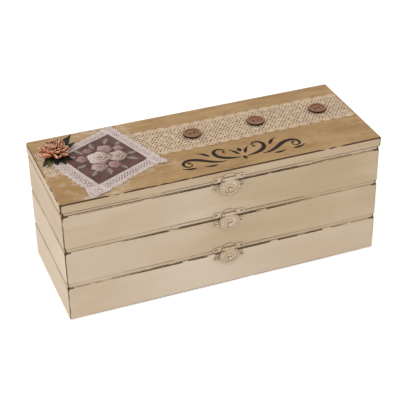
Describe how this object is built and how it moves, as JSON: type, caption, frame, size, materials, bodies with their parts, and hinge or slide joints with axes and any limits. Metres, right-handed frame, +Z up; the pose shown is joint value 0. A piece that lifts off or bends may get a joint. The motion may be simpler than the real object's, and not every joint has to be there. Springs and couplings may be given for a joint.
{
  "type": "tiered craft box",
  "caption": "Long wooden craft box of stacked trays under a lid, each tier hinged at the back and latched in front, trimmed with lace, buttons, a print and a paper flower.",
  "frame": {"origin": "centre of the underside, on the surface that the box stands on", "axes": "+X to the right along the box, +Y to the back where the hinges are, +Z up; the clasps face -Y"},
  "size_m": [0.3019, 0.1238, 0.1354],
  "materials": {
    "cream_wood": "satin cream paint, edges worn to brown",
    "cream_ply": "satin cream paint over plywood",
    "lid_paint": "satin tan varnish over streaked paint",
    "painted_metal": "cream paint over worn brass",
    "brass": "aged satin",
    "lace": "cotton crochet lace",
    "print": "printed paper",
    "button_wood": "turned and waxed",
    "petals": "paper",
    "leaves": "paper"
  },
  "bodies": {
    "bottom_tray": {"bottom_front": "cream_wood", "bottom_back": "cream_wood", "bottom_left_end": "cream_wood", "bottom_right_end": "cream_wood", "bottom_base": "cream_ply", "bottom_hinge_screws": "brass", "bottom_clasp_nails": "painted_metal", "middle_hinge_left_fixed_leaf": "brass", "middle_hinge_right_fixed_leaf": "brass", "middle_hinge_pins": "brass", "middle_clasp_catch": "painted_metal"},
    "middle_tray": {"middle_front": "cream_wood", "middle_back": "cream_wood", "middle_left_end": "cream_wood", "middle_right_end": "cream_wood", "middle_base": "cream_ply", "middle_hinge_screws": "brass", "middle_clasp_nails": "painted_metal", "middle_hinge_left_moving_leaf": "brass", "middle_hinge_right_moving_leaf": "brass", "middle_clasp_plate": "painted_metal", "middle_clasp_rivet": "painted_metal", "top_hinge_left_fixed_leaf": "brass", "top_hinge_right_fixed_leaf": "brass", "top_hinge_pins": "brass", "top_clasp_catch": "painted_metal"},
    "top_tray": {"top_front": "cream_wood", "top_back": "cream_wood", "top_left_end": "cream_wood", "top_right_end": "cream_wood", "top_base": "cream_ply", "top_hinge_screws": "brass", "top_clasp_nails": "painted_metal", "top_hinge_left_moving_leaf": "brass", "top_hinge_right_moving_leaf": "brass", "top_clasp_plate": "painted_metal", "top_clasp_rivet": "painted_metal", "lid_hinge_left_fixed_leaf": "brass", "lid_hinge_right_fixed_leaf": "brass", "lid_hinge_pins": "brass", "lid_clasp_catch": "painted_metal"},
    "lid": {"lid_board": "lid_paint", "lid_liner": "cream_ply", "lace_band": "lace", "lace_frame": "lace", "print_card": "print", "buttons": "button_wood", "flower_leaves": "leaves", "paper_flower": "petals", "lid_hinge_screws": "brass", "lid_clasp_nails": "painted_metal", "lid_hinge_left_moving_leaf": "brass", "lid_hinge_right_moving_leaf": "brass", "lid_clasp_plate": "painted_metal", "lid_clasp_rivet": "painted_metal"},
    "middle_tongue": {"middle_clasp_tongue": "painted_metal"},
    "top_tongue": {"top_clasp_tongue": "painted_metal"},
    "lid_tongue": {"lid_clasp_tongue": "painted_metal"}
  },
  "joints": [
    {"name": "middle_hinge", "type": "hinge", "parent": "bottom_tray", "child": "middle_tray", "pos_m": [0, 0.0593, 0.0342], "axis": [-1, 0, 0], "range_deg": [0, 100]},
    {"name": "top_hinge", "type": "hinge", "parent": "middle_tray", "child": "top_tray", "pos_m": [0, 0.0593, 0.0712], "axis": [-1, 0, 0], "range_deg": [0, 100]},
    {"name": "lid_hinge", "type": "hinge", "parent": "top_tray", "child": "lid", "pos_m": [0, 0.0593, 0.1082], "axis": [-1, 0, 0], "range_deg": [0, 100]},
    {"name": "middle_tongue_swing", "type": "hinge", "parent": "middle_tray", "child": "middle_tongue", "pos_m": [0.0012, -0.0586, 0.0386], "axis": [-1, 0, 0], "range_deg": [0, 150]},
    {"name": "top_tongue_swing", "type": "hinge", "parent": "top_tray", "child": "top_tongue", "pos_m": [0.0012, -0.0586, 0.0756], "axis": [-1, 0, 0], "range_deg": [0, 150]},
    {"name": "lid_tongue_swing", "type": "hinge", "parent": "lid", "child": "lid_tongue", "pos_m": [0.0012, -0.0593, 0.1126], "axis": [-1, 0, 0], "range_deg": [0, 150]}
  ]
}
